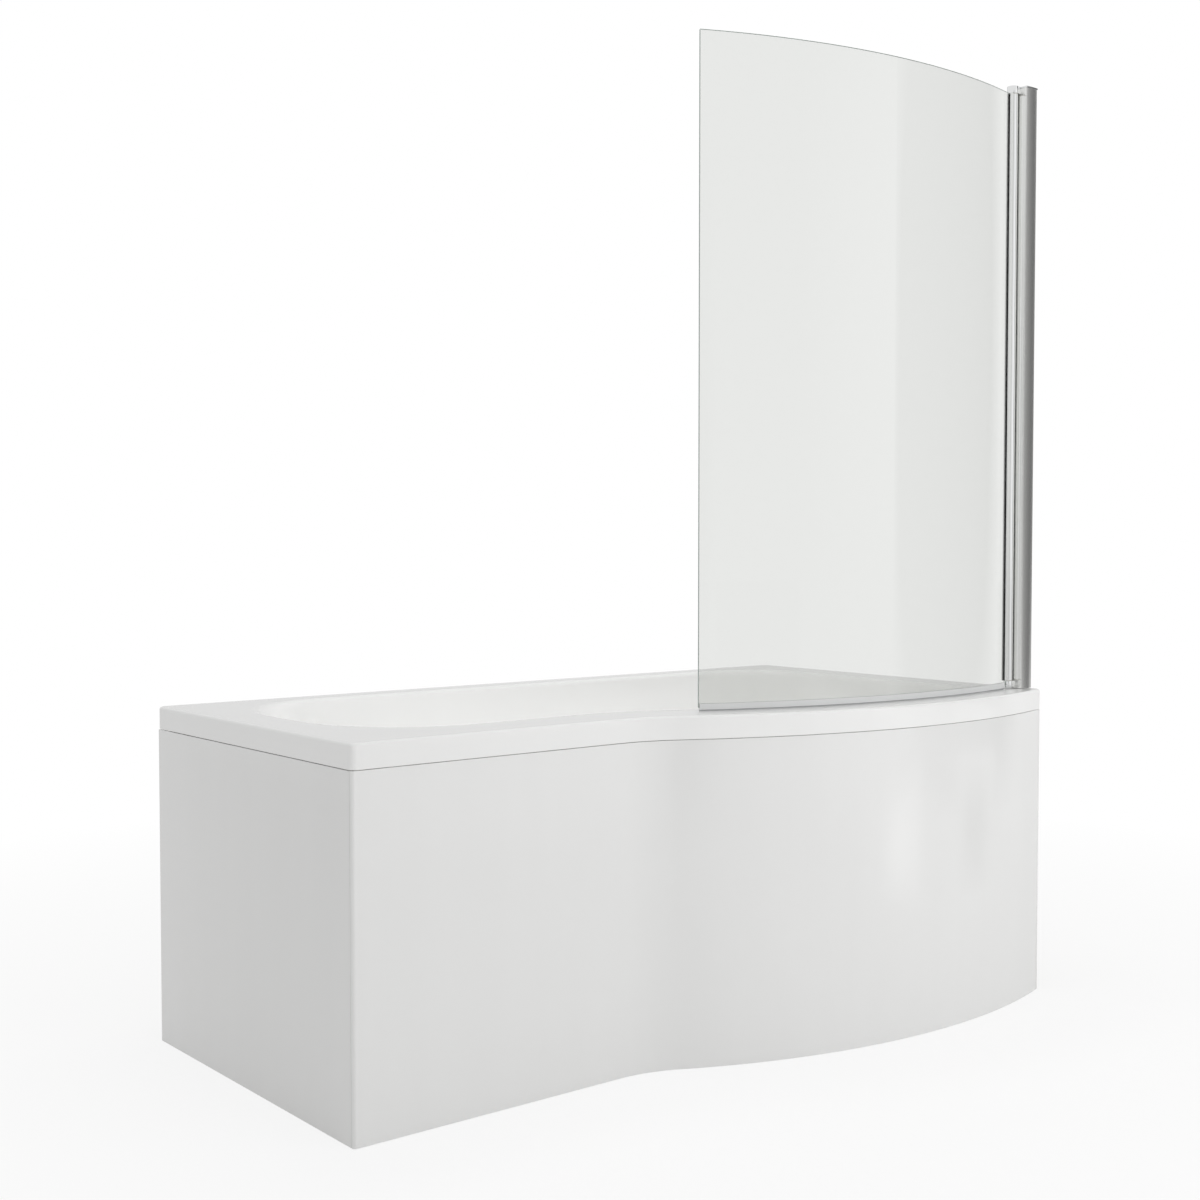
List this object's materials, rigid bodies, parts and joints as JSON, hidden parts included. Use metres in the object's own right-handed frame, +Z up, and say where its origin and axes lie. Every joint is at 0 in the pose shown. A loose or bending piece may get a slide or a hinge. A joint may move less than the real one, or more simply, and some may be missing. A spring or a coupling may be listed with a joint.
{
  "type": "shower bath with curved screen",
  "caption": "Bath with a narrow backrest end and a wide curved shower end, with a front panel, an end panel, legs, waste and a hinged curved glass screen.",
  "frame": {"origin": "centre of the bounding box in plan, on the floor", "axes": "+X along the back wall from the narrow end to the wide shower end, +Y from the curved front to the back wall, +Z up"},
  "size_m": [1.5, 0.83, 1.777],
  "materials": {
    "white_acrylic": "gloss",
    "white_panel": "gloss",
    "chipboard": "raw board",
    "softwood": "sawn",
    "zinc_steel": "zinc plated",
    "black_plastic": "matt",
    "black_rubber": "matt",
    "grey_hose": "matt",
    "chrome": "polished",
    "aluminium": "satin",
    "white_nylon": "matt",
    "clear_seal": "translucent",
    "clear_glass": "polished"
  },
  "bodies": {
    "bath": {"bath_tub": "white_acrylic", "baseboard": "chipboard", "batten_front": "softwood", "batten_curve": "softwood", "batten_back": "softwood", "batten_left": "softwood", "batten_right": "softwood", "leg_posts": "zinc_steel", "leg_rail_left": "zinc_steel", "leg_rail_right": "zinc_steel", "post_plugs": "black_plastic", "foot_studs": "zinc_steel", "foot_nuts": "zinc_steel", "foot_pads": "black_plastic", "centre_foot_plate": "zinc_steel", "frame_bolts": "zinc_steel", "rail_brackets": "zinc_steel", "rail_screws": "zinc_steel", "wall_brackets": "zinc_steel", "bracket_screws": "zinc_steel", "front_panel": "white_panel", "end_panel": "white_panel", "panel_clips": "zinc_steel", "floor_batten_front": "softwood", "floor_batten_curve": "softwood", "floor_batten_end": "softwood", "waste_flange": "chrome", "waste_washers": "black_rubber", "waste_body": "black_plastic", "waste_grid": "chrome", "plug_spring": "zinc_steel", "overflow_faceplate": "chrome", "overflow_elbow": "black_plastic", "overflow_hose": "grey_hose", "hose_clips": "zinc_steel", "wall_channel": "aluminium", "adjuster_profile": "chrome", "adjuster_screws": "zinc_steel", "profile_cap": "chrome", "pivot_block_bottom": "chrome", "pivot_block_top": "chrome", "grub_screw": "zinc_steel", "block_screws": "zinc_steel", "pivot_pin_bottom": "zinc_steel", "pivot_pin_top": "zinc_steel"},
    "screen": {"pivot_bar": "chrome", "glass_gasket": "clear_seal", "glass_pane": "clear_glass", "bottom_seal": "clear_seal", "wiper_lip": "black_rubber", "pivot_bush_bottom": "white_nylon", "pivot_bush_top": "white_nylon"},
    "plug": {"plug_stem": "chrome", "plug_cap": "chrome", "plug_seal": "black_rubber"}
  },
  "joints": [
    {"name": "screen_swing", "type": "hinge", "parent": "bath", "child": "screen", "pos_m": [0.703, -0.31433, 1.19], "axis": [0, 0, 1], "range_deg": [-65, 85]},
    {"name": "plug_press", "type": "slide", "parent": "bath", "child": "plug", "axis": [0, 0, 1], "range_m": [-0.0075, 0], "stiffness_N_per_m": 800, "springref_m": 0.01, "deforming": ["plug_spring"]}
  ]
}
